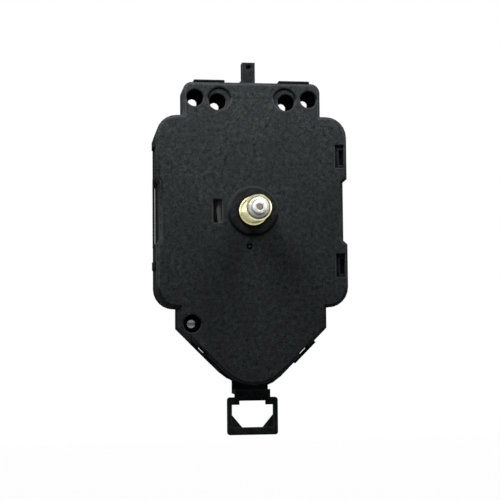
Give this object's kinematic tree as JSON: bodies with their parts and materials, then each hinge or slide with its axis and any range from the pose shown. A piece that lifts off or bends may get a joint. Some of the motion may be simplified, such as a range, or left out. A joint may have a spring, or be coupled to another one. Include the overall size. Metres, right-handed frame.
{
  "type": "quartz pendulum clock movement",
  "caption": "Battery clock movement in a black moulded case: threaded hand bush at the front, fixing tab above, setting knob and cell bay behind, and a swinging pendulum hanger below.",
  "frame": {"origin": "on the hand axis, in the plane of the case's front face, where the dial lies", "axes": "-Y out of the front along the hand shafts, +Z to twelve o'clock, +X to the right as the dial is read"},
  "size_m": [0.0572, 0.0331, 0.1099],
  "materials": {
    "black_plastic": "fine-grained moulded black plastic",
    "dark_plastic": "plain moulded black plastic",
    "brass": "turned brass",
    "white_plastic": "white acetal",
    "cream_plastic": "natural acetal",
    "red_plastic": "red acetal",
    "grey_plastic": "grey acetal",
    "steel": "turned steel",
    "dark_steel": "browned steel",
    "spring_steel": "nickelled spring strip",
    "copper": "lacquered copper wire",
    "ferrite": "sintered ferrite",
    "silicon_steel": "stamped sheet",
    "board_green": "solder mask",
    "chip_black": "potting resin"
  },
  "bodies": {
    "case": {"front_case": "black_plastic", "rear_case": "black_plastic", "threaded_bush": "brass", "motion_plate": "dark_plastic", "train_plate": "dark_plastic", "stator_plate": "silicon_steel", "coil_core": "silicon_steel", "coil_bobbin": "cream_plastic", "coil_winding": "copper", "circuit_board": "board_green", "quartz_crystal": "steel", "control_chip": "chip_black", "contact_positive": "spring_steel", "contact_negative": "spring_steel", "case_screw": "steel", "pendulum_pin": "steel", "pendulum_coil_bobbin": "cream_plastic", "pendulum_coil_winding": "copper"},
    "rotor": {"rotor_pinion": "grey_plastic", "rotor_magnet": "ferrite"},
    "fifth": {"fifth_wheel": "white_plastic"},
    "seconds": {"second_wheel": "red_plastic", "second_shaft": "dark_steel"},
    "third": {"third_wheel": "cream_plastic"},
    "centre": {"centre_wheel": "white_plastic", "clutch_spring": "spring_steel"},
    "minutes": {"minute_tube": "white_plastic"},
    "minute_work": {"minute_work_wheel": "cream_plastic"},
    "hours": {"hour_wheel": "white_plastic"},
    "knob": {"setting_knob": "white_plastic"},
    "pendulum": {"pendulum_lever": "black_plastic", "pendulum_magnet": "ferrite"}
  },
  "joints": [
    {"name": "rotor_spin", "type": "hinge", "parent": "case", "child": "rotor", "pos_m": [-0.01268, 0, -0.0074], "axis": [0, 1, 0], "continuous": true},
    {"name": "fifth_spin", "type": "hinge", "parent": "case", "child": "fifth", "pos_m": [-0.00718, 0, -0.00499], "axis": [0, 1, 0], "continuous": true},
    {"name": "second_spin", "type": "hinge", "parent": "case", "child": "seconds", "pos_m": [0, 0, 0], "axis": [0, 1, 0], "continuous": true},
    {"name": "third_spin", "type": "hinge", "parent": "case", "child": "third", "pos_m": [0.0022, 0, -0.00821], "axis": [0, 1, 0], "continuous": true},
    {"name": "centre_spin", "type": "hinge", "parent": "case", "child": "centre", "pos_m": [0, 0, 0], "axis": [0, 1, 0], "continuous": true},
    {"name": "knob_spin", "type": "hinge", "parent": "case", "child": "knob", "pos_m": [0.01659, 0, -0.0165], "axis": [0, 1, 0], "continuous": true},
    {"name": "minute_work_spin", "type": "hinge", "parent": "case", "child": "minute_work", "pos_m": [0.01053, 0, -0.00601], "axis": [0, 1, 0], "continuous": true},
    {"name": "minute_spin", "type": "hinge", "parent": "case", "child": "minutes", "pos_m": [0, 0, 0], "axis": [0, 1, 0], "continuous": true},
    {"name": "hour_spin", "type": "hinge", "parent": "case", "child": "hours", "pos_m": [0, 0, 0], "axis": [0, 1, 0], "continuous": true},
    {"name": "pendulum_swing", "type": "hinge", "parent": "case", "child": "pendulum", "pos_m": [0, 0.0101, -0.03124], "axis": [0, 1, 0], "range_deg": [-5, 5]}
  ],
  "couplings": [
    {"joint": "fifth_spin", "follows": "rotor_spin", "ratio": -0.2},
    {"joint": "second_spin", "follows": "rotor_spin", "ratio": 0.033333},
    {"joint": "third_spin", "follows": "rotor_spin", "ratio": -0.0044444},
    {"joint": "centre_spin", "follows": "rotor_spin", "ratio": 0.00055556},
    {"joint": "minute_work_spin", "follows": "knob_spin", "ratio": -0.33333},
    {"joint": "minute_spin", "follows": "knob_spin", "ratio": 1},
    {"joint": "hour_spin", "follows": "knob_spin", "ratio": 0.083333}
  ]
}
